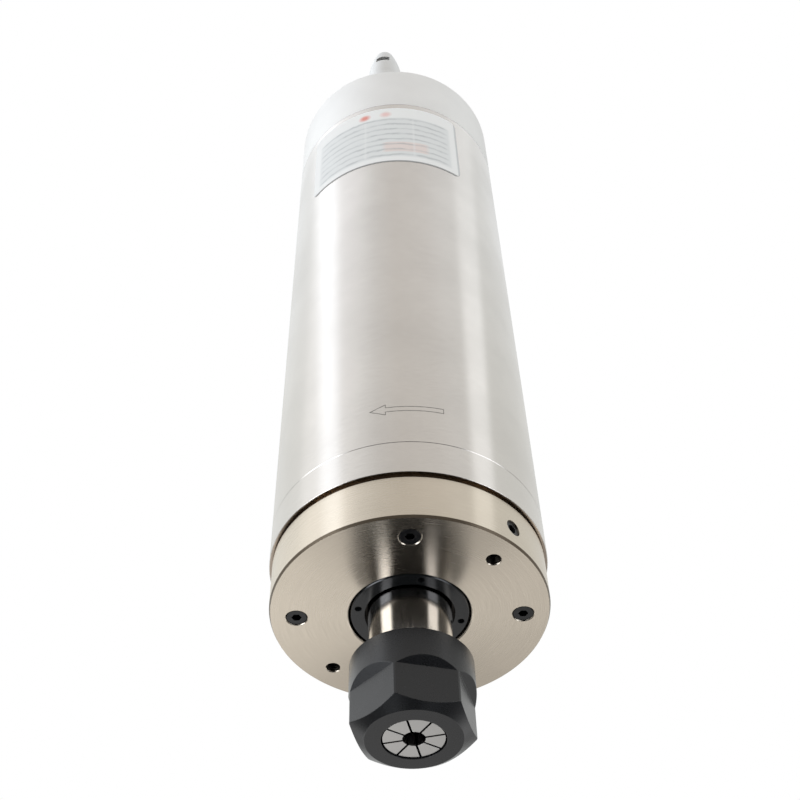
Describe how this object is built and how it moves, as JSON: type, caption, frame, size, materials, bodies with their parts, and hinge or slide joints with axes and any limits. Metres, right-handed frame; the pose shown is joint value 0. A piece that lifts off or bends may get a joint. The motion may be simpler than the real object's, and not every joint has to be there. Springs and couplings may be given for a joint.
{
  "type": "motor spindle",
  "caption": "Water-cooled cylindrical motor spindle with a hexagonal collet nut, spring collet, flanged nose, two hose fittings and a round power socket.",
  "frame": {"origin": "on the axis of rotation at the front flange face", "axes": "+Z along the axis from the nose to the rear cap; -Y towards the inlet fitting and the marked side"},
  "size_m": [0.08, 0.08, 0.3401],
  "materials": {
    "nickel": "satin nickel plate with a warm tone",
    "black_oxide": "oiled black oxide",
    "nut_oxide": "satin black oxide",
    "black_ring": "fine turned black oxide",
    "body_steel": "fine circumferential brushing",
    "cap_aluminium": "bead blasted",
    "shaft_steel": "ground and polished",
    "collet_steel": "fine ground",
    "bearing_steel": "ground",
    "ball_steel": "polished",
    "phenolic": "machined cloth laminate",
    "aluminium": "turned",
    "core_steel": "stacked laminations",
    "copper": "bright copper, lacquered on the winding",
    "rubber": "black nitrile",
    "spring_steel": "oiled spring steel",
    "fitting_steel": "turned and polished",
    "socket_steel": "satin nickel plate",
    "black_plastic": "moulded",
    "gold_pins": "gold flash",
    "lead_sheath": "silicone sheath"
  },
  "bodies": {
    "housing": {"front_flange": "nickel", "flange_screws": "black_oxide", "purge_plug": "black_oxide", "front_housing": "body_steel", "flange_seal": "rubber", "front_seals": "rubber", "front_outer_races": "bearing_steel", "outer_spacer": "bearing_steel", "jacket_tube": "body_steel", "cooling_sleeve": "aluminium", "stator_core": "core_steel", "winding": "copper", "rear_housing": "aluminium", "rear_seal": "rubber", "rear_outer_races": "bearing_steel", "preload_springs": "spring_steel", "bearing_circlip": "spring_steel", "water_seals": "rubber", "rear_cap": "cap_aluminium", "cap_screws": "black_oxide", "fitting_bodies": "fitting_steel", "fitting_washers": "copper", "fitting_nuts": "fitting_steel", "socket_gasket": "rubber", "socket_shell": "socket_steel", "socket_nut": "socket_steel", "socket_insert": "black_plastic", "socket_pins": "gold_pins", "motor_leads": "lead_sheath"},
    "spindle": {"spindle_shaft": "shaft_steel", "lock_ring": "black_ring", "inner_spacers": "bearing_steel", "front_inner_races": "bearing_steel", "rotor_core": "core_steel", "rotor_cage": "aluminium", "rear_inner_races": "bearing_steel", "rear_spacer": "bearing_steel", "rear_lock_nut": "black_oxide"},
    "front_cage_set": {"front_balls": "ball_steel", "front_cages": "phenolic"},
    "rear_cage_set": {"rear_balls": "ball_steel", "rear_cages": "phenolic"},
    "collet_body": {"collet": "collet_steel"},
    "nut_body": {"collet_nut": "nut_oxide"}
  },
  "joints": [
    {"name": "spindle_spin", "type": "hinge", "parent": "housing", "child": "spindle", "pos_m": [0, 0, 0], "axis": [0, 0, -1], "continuous": true},
    {"name": "front_cage_spin", "type": "hinge", "parent": "housing", "child": "front_cage_set", "pos_m": [0, 0, 0.025], "axis": [0, 0, -1], "continuous": true},
    {"name": "rear_cage_spin", "type": "hinge", "parent": "housing", "child": "rear_cage_set", "pos_m": [0, 0, 0.2115], "axis": [0, 0, -1], "continuous": true},
    {"name": "collet_slide", "type": "slide", "parent": "spindle", "child": "collet_body", "axis": [0, 0, -1], "range_m": [0, 0.009]},
    {"name": "nut_turn", "type": "hinge", "parent": "collet_body", "child": "nut_body", "pos_m": [0, 0, -0.03], "axis": [0, 0, -1], "range_deg": [0, 2160.1]}
  ],
  "couplings": [
    {"joint": "front_cage_spin", "follows": "spindle_spin", "ratio": 0.4249},
    {"joint": "rear_cage_spin", "follows": "spindle_spin", "ratio": 0.4096},
    {"joint": "nut_turn", "follows": "collet_slide", "rad_per_m": 4188.8}
  ]
}
